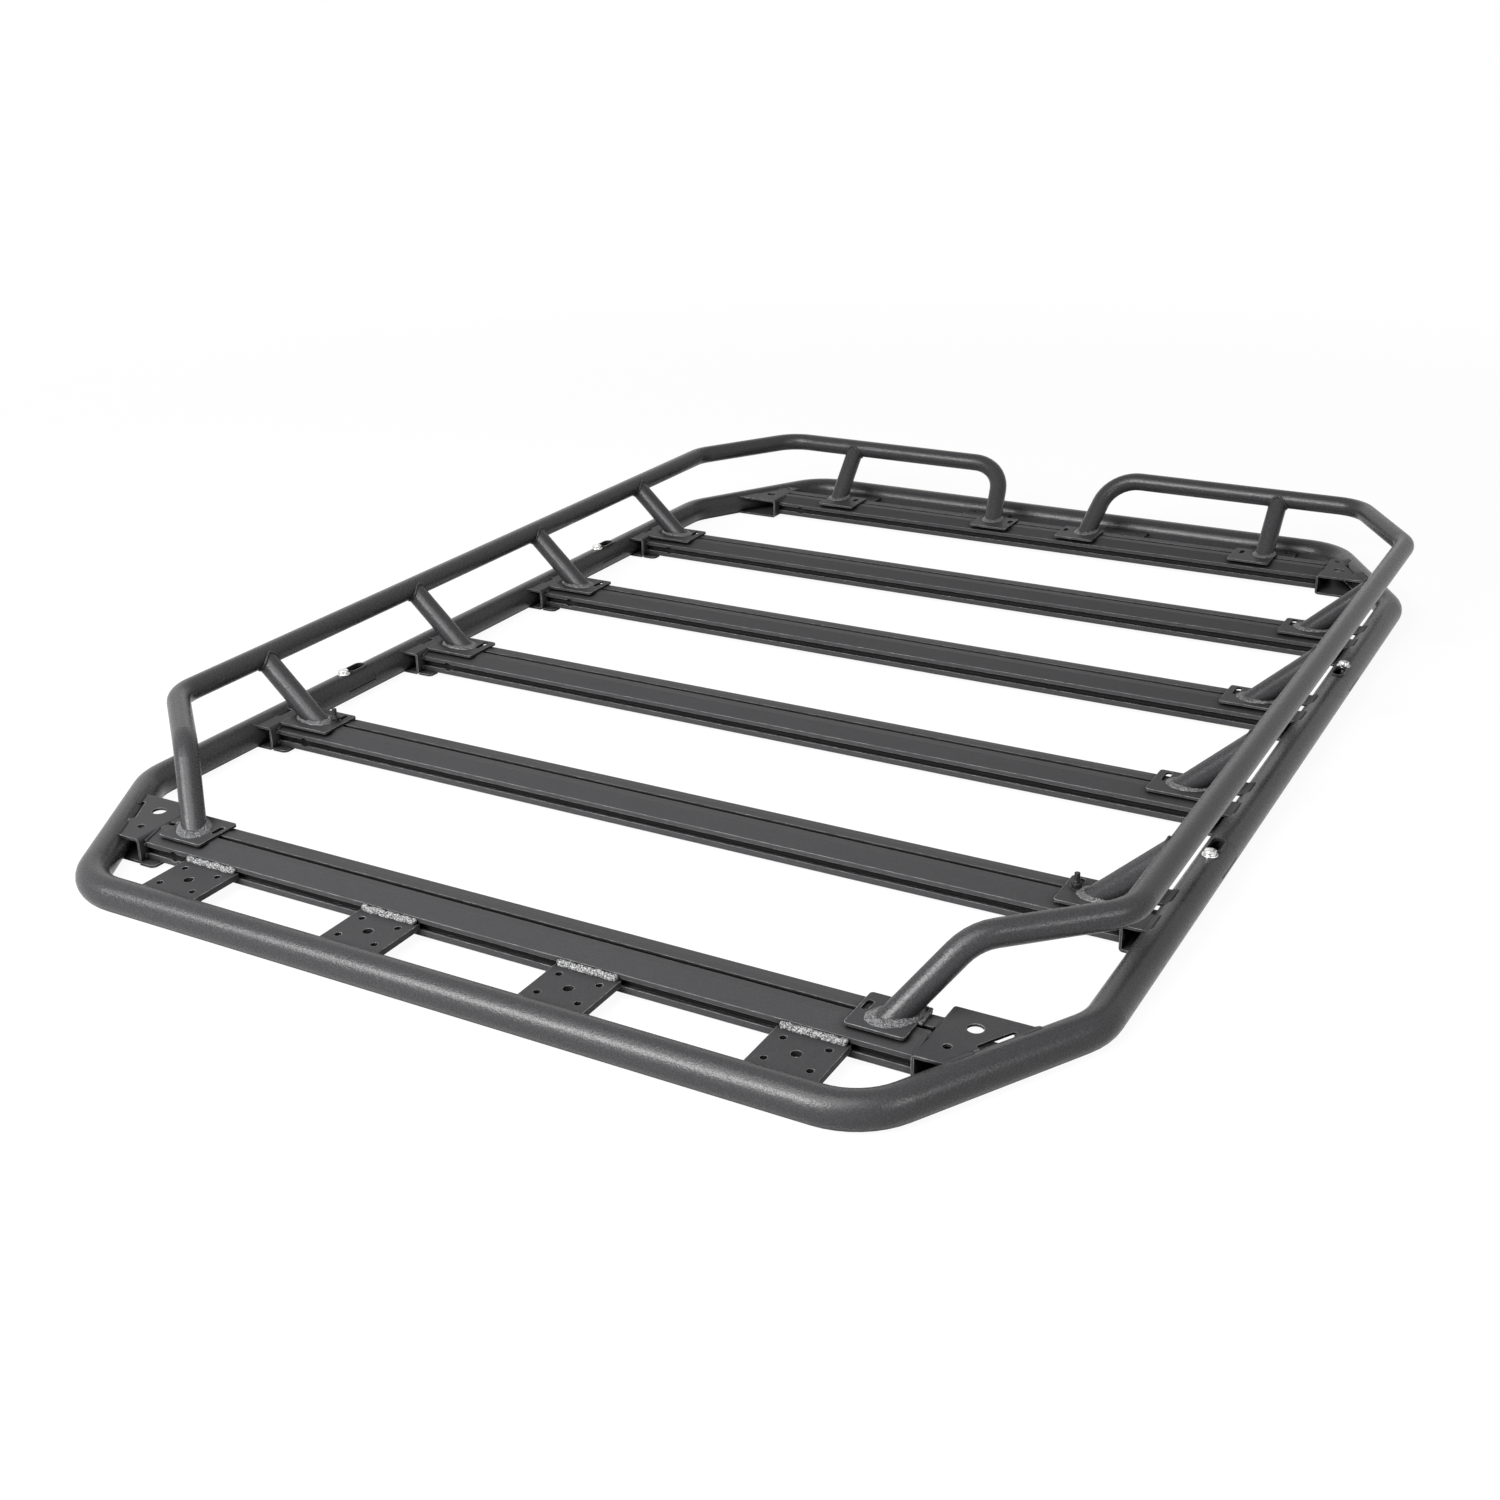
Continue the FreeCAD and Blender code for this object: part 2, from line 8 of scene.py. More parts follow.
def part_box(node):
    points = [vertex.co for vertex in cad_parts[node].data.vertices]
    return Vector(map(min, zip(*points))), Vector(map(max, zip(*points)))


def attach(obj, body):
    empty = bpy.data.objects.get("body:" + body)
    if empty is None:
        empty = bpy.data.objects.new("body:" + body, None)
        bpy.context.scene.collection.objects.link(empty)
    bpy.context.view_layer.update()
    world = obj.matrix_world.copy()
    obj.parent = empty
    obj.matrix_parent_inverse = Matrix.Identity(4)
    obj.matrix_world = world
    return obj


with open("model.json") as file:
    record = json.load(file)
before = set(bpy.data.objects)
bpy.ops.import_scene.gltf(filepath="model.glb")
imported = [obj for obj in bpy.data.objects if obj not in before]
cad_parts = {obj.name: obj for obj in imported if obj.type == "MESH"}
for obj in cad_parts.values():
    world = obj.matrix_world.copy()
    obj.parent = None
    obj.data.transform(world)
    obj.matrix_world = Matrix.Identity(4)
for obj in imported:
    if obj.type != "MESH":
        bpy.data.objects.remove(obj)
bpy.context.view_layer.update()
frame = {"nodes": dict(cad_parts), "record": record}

# Sizes in metres that the small pieces take from the rack
rail_radius = 0.01905
rail_side = 0.8133
rail_height = 0.1482
rear_rail_y = 1.1389
foot_top = 0.050

# Frame tube: the straight sides, and the corners that slant in past corner_start
frame_side = 0.8065
corner_start = 0.875
corner_slope = 177.5 / 309.9
slant = math.atan(corner_slope)

# Slats: the y of their rear edges and half their lengths
slat_words = ("front", "second", "third", "fourth", "fifth", "rear")
slat_rears = {word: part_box(word + "_slat")[1][1] for word in slat_words}
slat_halves = {word: 0.637 if word in ("front", "rear") else 0.756 for word in slat_words}

# Posts and rail legs: how far out they stand, and how far forward of their slat's rear edge;
# a front leg meets its rail behind that edge
side_post_x = 0.708
side_post_forward = {"second": 0.0444, "third": 0.0348, "fourth": 0.0412, "fifth": 0.037}
rear_post_x = 0.507
rear_post_forward = 0.028
front_leg_x = 0.586
front_leg_forward = 0.0366
front_leg_head_x = 0.658
front_leg_head_back = 0.0364
front_leg_top = 0.144
rear_leg_x = 0.112
rear_leg_head_x = 0.133
rear_leg_forward = 0.035

# Where the bolts of the lap joints and the studs in the second slat's feet stand
joint_bolts = [(side * frame_side, y) for side in (-1, 1) for y in (-0.396, 0.452)]
foot_studs = [(side * 0.670, -0.5788) for side in (-1, 1)]


# Finishes

def fresh_material(name):
    material = bpy.data.materials.new(name)
    material.use_nodes = True
    tree = material.node_tree
    return material, tree, tree.nodes["Principled BSDF"]


def object_coords(tree):
    return tree.nodes.new("ShaderNodeTexCoord").outputs["Object"]


def spotted(tree, coords, scale, detail, roughness=0.5):
    noise = tree.nodes.new("ShaderNodeTexNoise")
    noise.inputs["Scale"].default_value = scale
    noise.inputs["Detail"].default_value = detail
    noise.inputs["Roughness"].default_value = roughness
    tree.links.new(coords, noise.inputs["Vector"])
    return noise.outputs["Fac"]


def between(tree, value, low, high, out_low, out_high):
    node = tree.nodes.new("ShaderNodeMapRange")
    node.inputs["From Min"].default_value = low
    node.inputs["From Max"].default_value = high
    node.inputs["To Min"].default_value = out_low
    node.inputs["To Max"].default_value = out_high
    tree.links.new(value, node.inputs["Value"])
    return node.outputs["Result"]


def combined(tree, operation, first, second):
    node = tree.nodes.new("ShaderNodeMath")
    node.operation = operation
    tree.links.new(first, node.inputs[0])
    tree.links.new(second, node.inputs[1])
    return node.outputs["Value"]


def mixed(tree, kind, factor, first, second):
    # Each end is a constant or the output of another node
    mix = tree.nodes.new("ShaderNodeMix")
    mix.data_type = kind
    tree.links.new(factor, mix.inputs["Factor"])
    for name, end in (("A", first), ("B", second)):
        if isinstance(end, bpy.types.NodeSocket):
            tree.links.new(end, mix.inputs[name])
        else:
            mix.inputs[name].default_value = end
    return mix.outputs["Result"]


def two_tones(tree, factor, dark, light):
    return mixed(tree, "RGBA", factor, (*dark, 1.0), (*light, 1.0))


def raised(tree, height, strength, distance):
    bump = tree.nodes.new("ShaderNodeBump")
    bump.inputs["Strength"].default_value = strength
    bump.inputs["Distance"].default_value = distance
    tree.links.new(height, bump.inputs["Height"])
    return bump


def soft_edges(tree, radius):
    # The coat draws over every sawn edge, so edges catch the light as if slightly rounded
    edge = tree.nodes.new("ShaderNodeBevel")
    edge.samples = 4
    edge.inputs["Radius"].default_value = radius
    return edge.outputs["Normal"]


def edge_share(tree, rounded):
    # How far the rounded normal has turned away from the flat face: high only along an edge
    face = tree.nodes.new("ShaderNodeNewGeometry").outputs["Normal"]
    turn = tree.nodes.new("ShaderNodeVectorMath")
    turn.operation = "DOT_PRODUCT"
    tree.links.new(rounded, turn.inputs[0])
    tree.links.new(face, turn.inputs[1])
    return between(tree, turn.outputs["Value"], 0.995, 0.86, 0.0, 1.0)


def unshaded_share(tree, reach):
    # How open a place is to the room: low inside grooves, slots and tight corners, where shade is
    # painted into the colour
    shelter = tree.nodes.new("ShaderNodeAmbientOcclusion")
    shelter.samples = 4
    shelter.inputs["Distance"].default_value = reach
    return between(tree, shelter.outputs["AO"], 0.42, 0.89, 0.0, 1.0)


edge_radius = 0.0014
painted_shade_reach = 0.016
# Painted shade: the near-black colour put into grooves, slots and tight corners
painted_shade_tone = (0.002, 0.002, 0.002, 1.0)
sheltered_roughness = 0.85


def powder_coat(name, dark, light, edge_highlight_tone, roughness, sheen_spread, shine,
                grain_scale, grain_depth):
    # Black textured powder coat: fine orange peel, faint cloudiness, uneven gloss, edges painted
    # lighter as a highlight (partly wear), and painted shade with duller gloss in sheltered places
    material, tree, shader = fresh_material(name)
    coords = object_coords(tree)
    grain = spotted(tree, coords, grain_scale, 2.0, 0.6)
    pits = spotted(tree, coords, grain_scale * 0.42, 1.0)
    cloudiness = between(tree, spotted(tree, coords, 9.0, 3.0), 0.3, 0.7, 0.7, 1.0)
    mottle = combined(tree, "MULTIPLY", cloudiness, between(tree, grain, 0.42, 0.66, 0.0, 1.0))
    rounded = soft_edges(tree, edge_radius)
    patchy = between(tree, spotted(tree, coords, 60.0, 3.0), 0.38, 0.60, 0.35, 1.0)
    wear_and_painted_highlight = combined(tree, "MULTIPLY", edge_share(tree, rounded), patchy)
    unshaded = unshaded_share(tree, painted_shade_reach)

    # Painted highlight: edges go lighter where the rounded normal turns, broken up in patches
    # (partly wear)
    colour = mixed(tree, "RGBA", wear_and_painted_highlight, two_tones(tree, mottle, dark, light), (*edge_highlight_tone, 1.0))
    # Painted shade: grooves, slots and tight corners go near black
    colour = mixed(tree, "RGBA", unshaded, painted_shade_tone, colour)
    tree.links.new(colour, shader.inputs["Base Color"])

    gloss = between(tree, grain, 0.3, 0.7, roughness - sheen_spread, roughness + sheen_spread)
    gloss = mixed(tree, "FLOAT", unshaded, sheltered_roughness, gloss)
    tree.links.new(gloss, shader.inputs["Roughness"])

    fine = raised(tree, grain, 1.0, grain_depth)
    coarse = raised(tree, pits, 0.4, grain_depth)
    tree.links.new(rounded, coarse.inputs["Normal"])
    tree.links.new(coarse.outputs["Normal"], fine.inputs["Normal"])
    tree.links.new(fine.outputs["Normal"], shader.inputs["Normal"])
    shader.inputs["Specular IOR Level"].default_value = shine
    return material


def coated_weld(name, dark, light):
    # Weld bead under the same coat, with a painted highlight on the crests of its ripples
    material, tree, shader = fresh_material(name)
    ripple = spotted(tree, object_coords(tree), 460.0, 2.0, 0.6)
    # Painted highlight: the lighter tone sits on the ripple crests
    colour = two_tones(tree, between(tree, ripple, 0.43, 0.64, 0.0, 1.0), dark, light)
    tree.links.new(colour, shader.inputs["Base Color"])
    tree.links.new(raised(tree, ripple, 1.0, 0.0010).outputs["Normal"], shader.inputs["Normal"])
    shader.inputs["Roughness"].default_value = 0.34
    shader.inputs["Specular IOR Level"].default_value = 0.2
    return material


def bright_zinc(name):
    material, tree, shader = fresh_material(name)
    stain = spotted(tree, object_coords(tree), 260.0, 3.0)
    colour = two_tones(tree, between(tree, stain, 0.35, 0.65, 0.0, 1.0),
                       (0.55, 0.55, 0.54), (0.82, 0.82, 0.81))
    tree.links.new(colour, shader.inputs["Base Color"])
    tree.links.new(between(tree, stain, 0.3, 0.7, 0.22, 0.42), shader.inputs["Roughness"])
    shader.inputs["Metallic"].default_value = 1.0
    return material


def black_oxide(name):
    material, tree, shader = fresh_material(name)
    wear_and_painted_highlight = spotted(tree, object_coords(tree), 500.0, 2.0)
    colour = two_tones(tree, between(tree, wear_and_painted_highlight, 0.4, 0.7, 0.0, 1.0),
                       (0.005, 0.005, 0.005), (0.022, 0.022, 0.023))
    tree.links.new(colour, shader.inputs["Base Color"])
    shader.inputs["Roughness"].default_value = 0.38
    shader.inputs["Specular IOR Level"].default_value = 0.2
    return material


# edge_highlight_tone is the colour of the painted highlight along the edges
tube_coat = powder_coat("tube_powder_coat",
                        dark=(0.017, 0.017, 0.018), light=(0.023, 0.023, 0.024),
                        edge_highlight_tone=(0.03, 0.03, 0.03),
                        roughness=0.27, sheen_spread=0.10, shine=0.20,
                        grain_scale=420.0, grain_depth=0.00042)
slat_coat = powder_coat("slat_powder_coat",
                        dark=(0.024, 0.024, 0.025), light=(0.034, 0.034, 0.035),
                        edge_highlight_tone=(0.20, 0.20, 0.20),
                        roughness=0.42, sheen_spread=0.06, shine=0.05,
                        grain_scale=600.0, grain_depth=0.00012)
plate_coat = powder_coat("plate_powder_coat",
                         dark=(0.022, 0.022, 0.023), light=(0.032, 0.032, 0.033),
                         edge_highlight_tone=(0.28, 0.28, 0.28),
                         roughness=0.41, sheen_spread=0.07, shine=0.05,
                         grain_scale=560.0, grain_depth=0.00016)
# The light tone of each weld is its painted highlight
weld_coat = coated_weld("coated_weld_bead", (0.024, 0.024, 0.025), (0.23, 0.23, 0.232))
dull_weld = coated_weld("coated_foot_weld", (0.022, 0.022, 0.023), (0.125, 0.125, 0.127))
zinc = bright_zinc("bright_zinc_bolt")
oxide = black_oxide("black_stud_and_nut")

coat_of_slot = {"coated_tube": tube_coat, "coated_slat": slat_coat, "coated_plate": plate_coat}
slot_of_node = {part["node"]: part["material_slot"] for part in frame["record"]["subparts"]}
for name, node in frame["nodes"].items():
    coat = coat_of_slot[slot_of_node[name]]
    if not node.material_slots:
        node.data.materials.append(coat)
    for slot in node.material_slots:
        slot.material = coat


# Small pieces

def finish_piece(name, maker, material, smooth=True):
    # Turn a new mesh's faces outward and hang it on the rack
    bmesh.ops.recalc_face_normals(maker, faces=maker.faces)
    mesh = bpy.data.meshes.new(name)
    maker.to_mesh(mesh)
    maker.free()
    for polygon in mesh.polygons:
        polygon.use_smooth = smooth
    mesh.materials.append(material)
    piece = bpy.data.objects.new(name, mesh)
    bpy.context.scene.collection.objects.link(piece)
    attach(piece, "root")


bead_step = 0.0016


def bead_mesh(paths, radius, unevenness=1.0):
    # Lay beads along paths, each swelling and pinching in the short ripples of a hand-run weld
    curve = bpy.data.curves.new("bead_run", "CURVE")
    curve.dimensions = "3D"
    curve.bevel_depth = radius
    curve.bevel_resolution = 2
    curve.use_fill_caps = True
    wobble = 0
    for points, closed in paths:
        spots = []
        count = len(points)
        runs = count if closed else count - 1
        for index in range(runs):
            start = Vector(points[index])
            end = Vector(points[(index + 1) % count])
            pieces = max(1, round((end - start).length / bead_step))
            spots += [start.lerp(end, part / pieces) for part in range(pieces)]
        if not closed:
            spots.append(Vector(points[-1]))
        spline = curve.splines.new("POLY")
        spline.points.add(len(spots) - 1)
        spline.use_cyclic_u = closed
        for point, spot in zip(spline.points, spots):
            wobble += 1
            swell = math.sin(wobble * 1.9) * 0.10 + math.sin(wobble * 0.37 + 1.0) * 0.12
            drift = Vector((math.sin(wobble * 0.53), math.cos(wobble * 0.41),
                            math.sin(wobble * 0.67)))
            drift *= radius * 0.12 * unevenness
            point.co = (*(spot + drift), 1.0)
            point.radius = 1.0 + swell * unevenness
    holder = bpy.data.objects.new("bead_run", curve)
    bpy.context.scene.collection.objects.link(holder)
    graph = bpy.context.evaluated_depsgraph_get()
    baked = bpy.data.meshes.new_from_object(holder.evaluated_get(graph))
    bpy.data.objects.remove(holder)
    maker = bmesh.new()
    maker.from_mesh(baked)
    bpy.data.meshes.remove(baked)
    bmesh.ops.remove_doubles(maker, verts=maker.verts, dist=0.00002)
    return maker


def swept_section(maker, sections, closed=False):
    # Extrude a closed section through its stations, then cap both ends or join them
    corners = [maker.verts.new(place) for place in sections[0]]
    edges = [maker.edges.new(pair) for pair in zip(corners, corners[1:] + corners[:1])]
    first = edges
    for section in sections[1:]:
        made = bmesh.ops.extrude_edge_only(maker, edges=edges)["geom"]
        edges = [part for part in made if isinstance(part, bmesh.types.BMEdge)]
        risen = [part for part in made if isinstance(part, bmesh.types.BMVert)]
        risen = {vert.co.copy().freeze(): vert for vert in risen}
        corners = [risen[corner.co.copy().freeze()] for corner in corners]
        for corner, place in zip(corners, section):
            corner.co = place
    if closed:
        bmesh.ops.bridge_loops(maker, edges=first + edges)
    else:
        bmesh.ops.edgeloop_fill(maker, edges=first)
        bmesh.ops.edgeloop_fill(maker, edges=edges)


saddle_tip_softness = 0.24
saddle_gap = 0.0005
saddle_widening = 1.01


def ring_on_rail(foot, head, rail_direction):
    # The saddle where a post meets the underside of the rail: rounded at its two tips, and
    # just clear of both tubes
    lean = (Vector(head) - Vector(foot)).normalized()
    along = Vector(rail_direction)
    side = lean.cross(along).normalized()
    turns = 40
    ring = []
    for index in range(turns):
        turn = index * math.tau / turns
        out = along * math.sin(turn) + side * math.cos(turn)
        back = rail_radius * math.hypot(math.sin(turn), saddle_tip_softness)
        ring.append(Vector(head) - lean * (back + saddle_gap) + out * rail_radius * saddle_widening)
    return ring


def add_skirt(maker, foot, head, spread=1.32, climb=0.0050):
    # A hand-run weld round a slanting tube: it climbs the tube a little and feathers out on
    # the plate; the profile gives reach in tube radii and height over the plate
    lean = Vector(head) - Vector(foot)
    tilt = Vector((lean.x, lean.y, 0.0)) / lean.z
    along = tilt.normalized() * rail_radius * lean.length / lean.z
    across = Vector((-tilt.y, tilt.x, 0.0)).normalized() * rail_radius
    turns = 72
    loops = []
    for index in range(turns):
        turn = index * math.tau / turns
        wave = (math.sin(turn * 3.0 + 1.0) * 0.045 + math.sin(turn * 11.0) * 0.02
                + math.sin(turn * 29.0) * 0.012)
        wide = spread + wave
        flare = wide - 1.0
        profile = ((0.93, -0.0010), (wide, -0.0010), (wide, 0.0004), (1.0 + flare * 0.58, 0.0022),
                   (1.0 + flare * 0.22, 0.0038 + wave * 0.01), (0.95, climb + wave * 0.02))
        loop = []
        for grow, height in profile:
            place = Vector(foot) + tilt * height + Vector((0.0, 0.0, height))
            place += (along * math.cos(turn) + across * math.sin(turn)) * grow
            loop.append(place)
        loops.append(loop)
    swept_section(maker, loops, closed=True)


# Welds round the feet and under the rails
rear_spread = 1.26
front_spread = 1.42
front_climb = 0.0062
front_foot_corner = (0.0335, 0.0336)

for side_name, side in (("left", -1), ("right", 1)):
    feet = bmesh.new()
    rail_rings = []
    for word, forward in side_post_forward.items():
        y = slat_rears[word] - forward
        foot = (side * side_post_x, y, foot_top)
        head = (side * rail_side, y, rail_height)
        add_skirt(feet, foot, head)
        rail_rings.append((ring_on_rail(foot, head, (0.0, 1.0, 0.0)), True))
    foot = (side * rear_post_x, slat_rears["rear"] - rear_post_forward, foot_top)
    head = (side * rear_post_x, rear_rail_y, rail_height)
    add_skirt(feet, foot, head, rear_spread)
    rail_rings.append((ring_on_rail(foot, head, (1.0, 0.0, 0.0)), True))
    foot = (side * front_leg_x, slat_rears["front"] - front_leg_forward, foot_top)
    head = (side * front_leg_head_x, slat_rears["front"] + front_leg_head_back, front_leg_top)
    add_skirt(feet, foot, head, front_spread, front_climb)
    # This weld also runs over the outer corner of the front foot's plate
    corner_x = foot[0] + side * front_foot_corner[0]
    corner_y = foot[1] + front_foot_corner[1]
    run_over = [(corner_x - side * 0.016, corner_y + 0.006, 0.0480),
                (corner_x, corner_y + 0.002, 0.0482),
                (corner_x + side * 0.001, corner_y - 0.034, 0.0470)]
    edge_weld = bead_mesh([(run_over, False)], radius=0.0032)
    foot = (side * rear_leg_x, slat_rears["rear"] - rear_leg_forward, foot_top)
    head = (side * rear_leg_head_x, rear_rail_y, rail_height)
    add_skirt(feet, foot, head, rear_spread)
    finish_piece(side_name + "_foot_welds", feet, dull_weld)
    finish_piece(side_name + "_foot_edge_weld", edge_weld, dull_weld)
    rail_welds = bead_mesh(rail_rings, radius=0.0026)
    finish_piece(side_name + "_rail_welds", rail_welds, tube_coat)

# Heavy beads where the light plates meet the end slats, one row above the other: how far each
# row keeps in from the plate's corners, stands out from its edge and rises over its top
plate_bead_rows = ((0.004, 0.0012, 0.0035), (0.006, 0.0024, 0.0008))

for end, out in (("front", -1), ("rear", 1)):
    beads = []
    for side_name in ("left", "right"):
        for word in ("inner", "outer"):
            low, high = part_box(end + "_" + side_name + "_" + word + "_light_plate")
            plate_edge = high[1] if end == "front" else low[1]
            for inset, reach, rise in plate_bead_rows:
                y = plate_edge + out * reach
                height = high[2] + rise
                beads.append(([(low[0] + inset, y, height), (high[0] - inset, y, height)], False))
    plate_welds = bead_mesh(beads, radius=0.0044)
    finish_piece(end + "_light_plate_welds", plate_welds, weld_coat)

# Smooth, coated-over welds between the slat ends and the brackets, with a few bright drips;
# the end of the T-slot stays open
seam_height = 0.0434
slot_front = 0.0440
slot_rear = 0.0314

for side_name, side in (("left", -1), ("right", 1)):
    seams = []
    drips = []
    for word, half in slat_halves.items():
        low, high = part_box(word + "_slat")
        front, rear = low[1], high[1]
        x = side * (half + 0.0019)
        seams.append(([(side * half, front + 0.0004, 0.0375),
                       (side * (half + 0.0004), front + 0.0310, 0.0448),
                       (x, front + 0.0345, seam_height),
                       (x, rear - slot_front, seam_height)], False))
        seams.append(([(x, rear - slot_rear, seam_height), (x, rear - 0.0200, seam_height),
                       (x, rear - 0.0010, 0.0400)], False))
        for y in (front - 0.0004, rear + 0.0004):
            for bottom, top in ((0.0105, 0.0185), (0.0310, 0.0365)):
                seams.append(([(side * half, y, bottom), (side * half, y, top)], False))
        face = side * (half - 0.0010)
        drips.append(([(face, front + 0.0060, 0.0388), (face, front + 0.0085, 0.0396)], False))
        drips.append(([(face, front + 0.0010, 0.0125), (face, front + 0.0004, 0.0142)], False))
    end_seams = bead_mesh(seams, radius=0.0031, unevenness=0.35)
    finish_piece(side_name + "_slat_end_seams", end_seams, plate_coat)
    weld_drips = bead_mesh(drips, radius=0.0013)
    finish_piece(side_name + "_weld_drips", weld_drips, weld_coat)


# Each corner of the fillet's section is a distance in from the frame tube's axis and a height;
# the section shrinks toward its heart at both ends of a run
fillet_section = ((0.0200, 0.0448), (0.0196, 0.0461), (0.0150, 0.0474), (0.0105, 0.0489),
                  (0.0064, 0.0502), (0.0066, 0.0484), (0.0140, 0.0440))
fillet_heart = (0.0145, 0.0458)
fillet_ends = (0.62, 0.88)
fillet_step = 0.004


def add_fillet(maker, spine, inward):
    # A wide smooth weld that ramps from the bracket's flange up onto the side of the frame tube
    inward = Vector((*inward, 0.0)).normalized()
    start = Vector((*spine[0], 0.0))
    end = Vector((*spine[1], 0.0))
    stations = max(4, round((end - start).length / fillet_step))
    loops = []
    for index in range(stations + 1):
        spot = start.lerp(end, index / stations)
        edge = min(index, stations - index)
        if edge < len(fillet_ends):
            size = fillet_ends[edge]
        else:
            size = 1.0 + math.sin(index * 1.7) * 0.015
        loop = []
        for out, height in fillet_section:
            reach = fillet_heart[0] + (out - fillet_heart[0]) * size
            rise = fillet_heart[1] + (height - fillet_heart[1]) * size
            place = spot + inward * reach
            loop.append((place.x, place.y, rise))
        loops.append(loop)
    swept_section(maker, loops)


def slanted_axis(side, y):
    # A point on the axis of the slanted part of the frame tube
    return side * (frame_side - corner_slope * (abs(y) - corner_start)), y


# The fillets stop on both sides of the open notches beside the tube, and run a little past the
# ends of each bracket
side_overrun = 0.002
side_notch_middle = 0.064
side_notch_half = 0.0175
corner_overruns = (0.001, 0.003)
corner_notch_half = 0.0305 * math.cos(slant) + 0.001
corner_shift = 0.0145 * math.sin(slant)

for side_name, side in (("left", -1), ("right", 1)):
    maker = bmesh.new()
    for word in side_post_forward:
        low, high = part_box(side_name + "_" + word + "_bracket")
        notch = high[1] - side_notch_middle
        for start, stop in ((low[1] - side_overrun, notch - side_notch_half),
                            (notch + side_notch_half, high[1] + side_overrun)):
            spine = ((side * frame_side, start), (side * frame_side, stop))
            add_fillet(maker, spine, (-side, 0.0))
    for end_name, end, notch_forward in (("front", -1, 0.0346), ("rear", 1, 0.0320)):
        low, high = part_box(end_name + "_" + side_name + "_corner_bracket")
        notch = slat_rears[end_name] - notch_forward
        inward = (-side * math.cos(slant), -end * math.sin(slant))
        shift = end * corner_shift
        for start, stop in ((low[1] - corner_overruns[0], notch - corner_notch_half),
                            (notch + corner_notch_half, high[1] + corner_overruns[1])):
            spine = (slanted_axis(side, start + shift), slanted_axis(side, stop + shift))
            add_fillet(maker, spine, inward)
    finish_piece(side_name + "_frame_welds", maker, plate_coat)


tongue_reach = 0.028
tongue_corner = 0.009
tongue_heights = (0.0050, 0.0091)


def add_tongue(maker, x, y_front, y_back):
    # A small flat tongue that reaches in from the bracket's foot to carry the slat end
    tip = x + tongue_reach
    outline = [(x, y_front), (tip - tongue_corner, y_front)]
    for step in range(1, 8):
        turn = math.radians(90.0 * step / 8.0)
        outline.append((tip - tongue_corner + tongue_corner * math.sin(turn),
                        y_front + tongue_corner - tongue_corner * math.cos(turn)))
    outline += [(tip, y_front + tongue_corner), (tip, y_back), (x, y_back)]
    swept_section(maker, [[(px, py, height) for px, py in outline] for height in tongue_heights])


tongues = bmesh.new()
for word in slat_words[:-1]:
    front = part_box(word + "_slat")[0][1]
    add_tongue(tongues, 0.0002 - slat_halves[word], front - 0.0160, front + 0.0060)
finish_piece("left_slat_tongues", tongues, plate_coat, smooth=False)


# Bolts, nuts and studs

def add_disc(maker, radius, bottom, top, x, y, sides=32, soften=0.0004, top_radius=None):
    upper = radius if top_radius is None else top_radius
    place = Matrix.Translation((x, y, (bottom + top) / 2.0))
    made = bmesh.ops.create_cone(maker, cap_ends=True, segments=sides, radius1=radius,
                                 radius2=upper, depth=top - bottom, matrix=place)
    rim = [edge for edge in maker.edges if all(vert in made["verts"] for vert in edge.verts)
           and len({round(vert.co.z, 6) for vert in edge.verts}) == 1]
    bmesh.ops.bevel(maker, geom=rim, offset=soften, offset_type="OFFSET", affect="EDGES",
                    segments=2, profile=0.5, material=-1)


def joint_bolt(x, y):
    # Washer, hexagon head, the disc on its face, and the shank down the lap joint
    maker = bmesh.new()
    add_disc(maker, 0.0118, 0.0497, 0.0517, x, y)
    add_disc(maker, 0.0098, 0.0517, 0.0578, x, y, sides=6, soften=0.0009)
    add_disc(maker, 0.0072, 0.0577, 0.0584, x, y, soften=0.0002)
    add_disc(maker, 0.0049, 0.0200, 0.0500, x, y, sides=20)
    return maker


def foot_stud(x, y):
    # Washer, nut, its collar, the stud and the ridges of its thread
    maker = bmesh.new()
    nut_bottom = foot_top + 0.0018
    nut_top = foot_top + 0.0088
    add_disc(maker, 0.0098, foot_top, nut_bottom, x, y)
    add_disc(maker, 0.0078, nut_bottom, nut_top, x, y, sides=6, soften=0.0007)
    add_disc(maker, 0.0058, nut_top, foot_top + 0.0118, x, y, sides=24, top_radius=0.0048)
    add_disc(maker, 0.0039, 0.0380, foot_top + 0.0238, x, y, sides=20, soften=0.0010)
    for turn in range(9):
        height = foot_top + 0.0126 + turn * 0.00125
        add_disc(maker, 0.0042, height, height + 0.0007, x, y, sides=20, soften=0.0002)
    return maker


for number, (x, y) in enumerate(joint_bolts, 1):
    finish_piece("joint_bolt_%d" % number, joint_bolt(x, y), zinc)
for number, (x, y) in enumerate(foot_studs, 1):
    finish_piece("foot_stud_%d" % number, foot_stud(x, y), oxide)


# Floor, light and camera

white = (1.0, 1.0, 1.0, 1.0)


def sees_background(tree):
    # Camera, mirror and glass rays all meet the plain background; soft bounces meet the lit room
    paths = tree.nodes.new("ShaderNodeLightPath")
    seen = paths.outputs["Is Camera Ray"]
    for name in ("Is Glossy Ray", "Is Transmission Ray"):
        seen = combined(tree, "MAXIMUM", seen, paths.outputs[name])
    return seen


def mixed_shaders(tree, factor, first, second):
    mix = tree.nodes.new("ShaderNodeMixShader")
    tree.links.new(factor, mix.inputs["Fac"])
    tree.links.new(first, mix.inputs[1])
    tree.links.new(second, mix.inputs[2])
    return mix.outputs["Shader"]


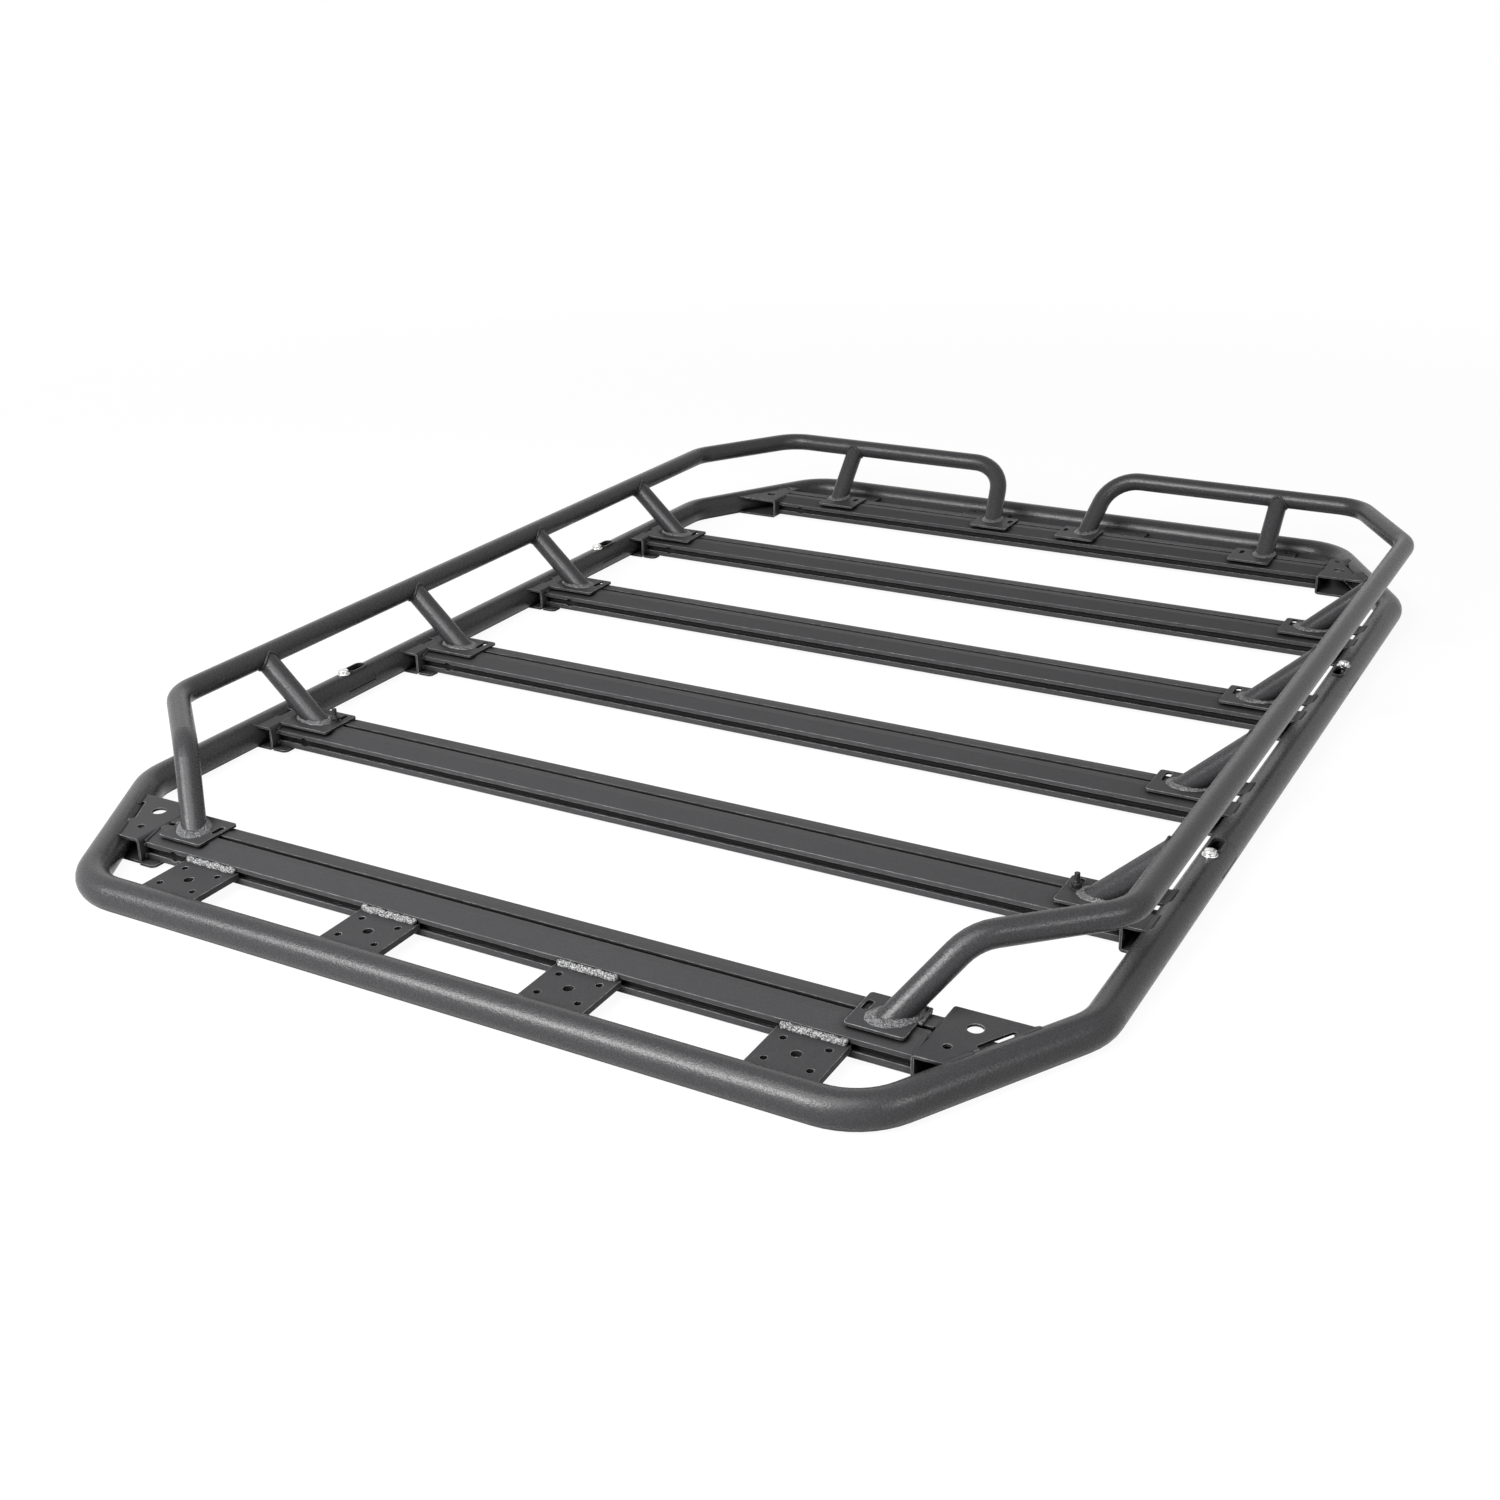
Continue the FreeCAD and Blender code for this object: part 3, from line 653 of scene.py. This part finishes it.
def stage_floor():
    # A pale floor that keeps the rack's shadow close by and fades to plain white further out
    bpy.ops.mesh.primitive_plane_add(size=40.0, location=(0.0, 0.0, -0.0005))
    floor = bpy.context.active_object
    floor.name = "floor"
    material, tree, shader = fresh_material("pale_floor")
    shader.inputs["Base Color"].default_value = (0.86, 0.86, 0.86, 1.0)
    shader.inputs["Roughness"].default_value = 0.9
    glow = tree.nodes.new("ShaderNodeEmission")
    glow.inputs["Color"].default_value = white
    glow.inputs["Strength"].default_value = 1.0
    distance = tree.nodes.new("ShaderNodeVectorMath")
    distance.operation = "LENGTH"
    tree.links.new(object_coords(tree), distance.inputs[0])
    white_out = between(tree, distance.outputs["Value"], 1.6, 4.5, 0.93, 1.0)
    share = combined(tree, "MULTIPLY", sees_background(tree), white_out)
    surface = mixed_shaders(tree, share, shader.outputs["BSDF"], glow.outputs["Emission"])
    tree.links.new(surface, tree.nodes["Material Output"].inputs["Surface"])
    floor.data.materials.append(material)


def soft_sky():
    # A bright band low down like a studio sweep, dark overhead, plain white as background
    world = bpy.data.worlds.new("studio")
    world.use_nodes = True
    tree = world.node_tree
    background = tree.nodes["Background"]
    background.inputs["Color"].default_value = white
    coords = tree.nodes.new("ShaderNodeTexCoord").outputs["Generated"]
    split = tree.nodes.new("ShaderNodeSeparateXYZ")
    tree.links.new(coords, split.inputs["Vector"])
    rise = between(tree, split.outputs["Z"], 0.05, 0.20, 0.40, 0.62)
    fall = between(tree, split.outputs["Z"], 0.28, 0.46, 1.0, 0.06)
    tree.links.new(combined(tree, "MULTIPLY", rise, fall), background.inputs["Strength"])
    plain = tree.nodes.new("ShaderNodeBackground")
    plain.inputs["Color"].default_value = white
    surface = mixed_shaders(tree, sees_background(tree), background.outputs["Background"],
                            plain.outputs["Background"])
    tree.links.new(surface, tree.nodes["World Output"].inputs["Surface"])
    bpy.context.scene.world = world


def soft_box(name, place, aim, width, height, power):
    lamp = bpy.data.lights.new(name, "AREA")
    lamp.shape = "RECTANGLE"
    lamp.size = width
    lamp.size_y = height
    lamp.energy = power
    holder = bpy.data.objects.new(name, lamp)
    holder.location = place
    holder.rotation_euler = (Vector(aim) - Vector(place)).to_track_quat("-Z", "Y").to_euler()
    bpy.context.scene.collection.objects.link(holder)


def photo_camera():
    # Solved from points of the photo and refined until render and photo agree
    lens = bpy.data.cameras.new("camera")
    lens.sensor_width = 36.0
    lens.lens = 44.5243
    lens.clip_end = 60.0
    camera = bpy.data.objects.new("camera", lens)
    camera.location = (1.40074, -2.80688, 1.27671)
    camera.rotation_euler = [math.radians(angle) for angle in (66.3465, 0.9537, 28.9054)]
    bpy.context.scene.collection.objects.link(camera)
    bpy.context.scene.camera = camera


stage_floor()
soft_sky()
soft_box("key_light", (-2.4, -3.2, 2.2), (-0.3, -0.8, 0.1), 1.0, 1.2, 80.0)
soft_box("front_top_light", (0.0, -2.6, 2.8), (0.0, -1.0, 0.0), 3.0, 2.4, 175.0)
soft_box("front_light", (-1.4, -4.6, 2.7), (0.0, -1.1, 0.0), 2.8, 1.7, 420.0)
soft_box("front_low_light", (-1.0, -5.0, 0.9), (0.0, -1.0, 0.0), 3.0, 1.2, 30.0)
soft_box("right_light", (3.0, -1.5, 1.7), (0.75, -0.8, 0.1), 1.0, 0.8, 40.0)
soft_box("back_light", (-3.0, 7.0, 2.5), (0.0, 0.0, 0.0), 5.0, 2.0, 18.0)
soft_box("left_back_light", (-4.5, 3.0, 1.6), (0.0, -0.3, 0.1), 3.0, 1.6, 7.0)
photo_camera()
bpy.context.scene.view_settings.view_transform = "Standard"
